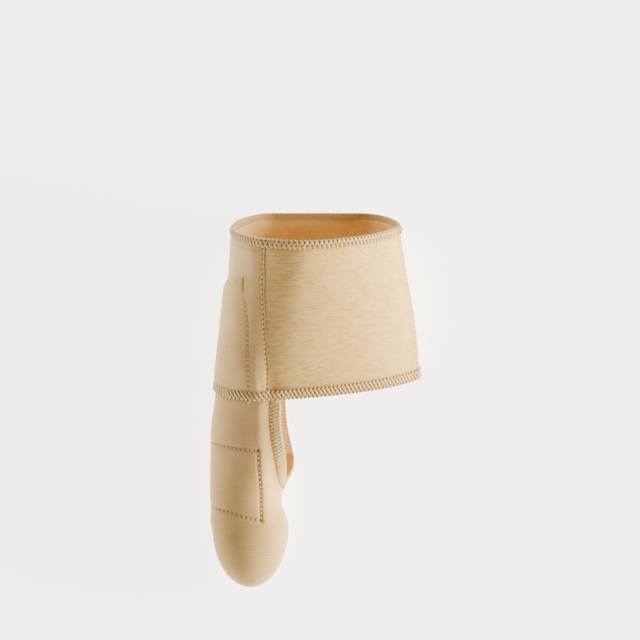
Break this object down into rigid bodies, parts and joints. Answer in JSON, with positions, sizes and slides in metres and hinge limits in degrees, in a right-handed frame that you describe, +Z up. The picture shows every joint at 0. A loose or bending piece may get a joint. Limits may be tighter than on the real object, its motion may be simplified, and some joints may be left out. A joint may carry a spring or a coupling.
{
  "type": "bunion corrector",
  "caption": "Elastic bunion corrector for a left foot in its worn form: band round the midfoot, closed sleeve over the big toe and a pull strap sewn under both along the inner side.",
  "frame": {"origin": "on the inner face of the band where it runs under the sole, half way along the band", "axes": "+Z up, away from the sole; the toes point to -Y; the big-toe side is at -X"},
  "size_m": [0.0983, 0.1777, 0.0819],
  "materials": {
    "midfoot_band": "matte",
    "band_top_hem": "matte",
    "band_bottom_hem": "matte",
    "pocket_panel": "matte",
    "pull_strap": "matte",
    "toe_sleeve": "matte",
    "sleeve_hem": "matte"
  },
  "bodies": {
    "root": {"midfoot_band": "midfoot_band", "band_top_hem": "band_top_hem", "band_bottom_hem": "band_bottom_hem", "pocket_panel": "pocket_panel", "pull_strap": "pull_strap", "toe_sleeve": "toe_sleeve", "sleeve_hem": "sleeve_hem"}
  },
  "joints": []
}
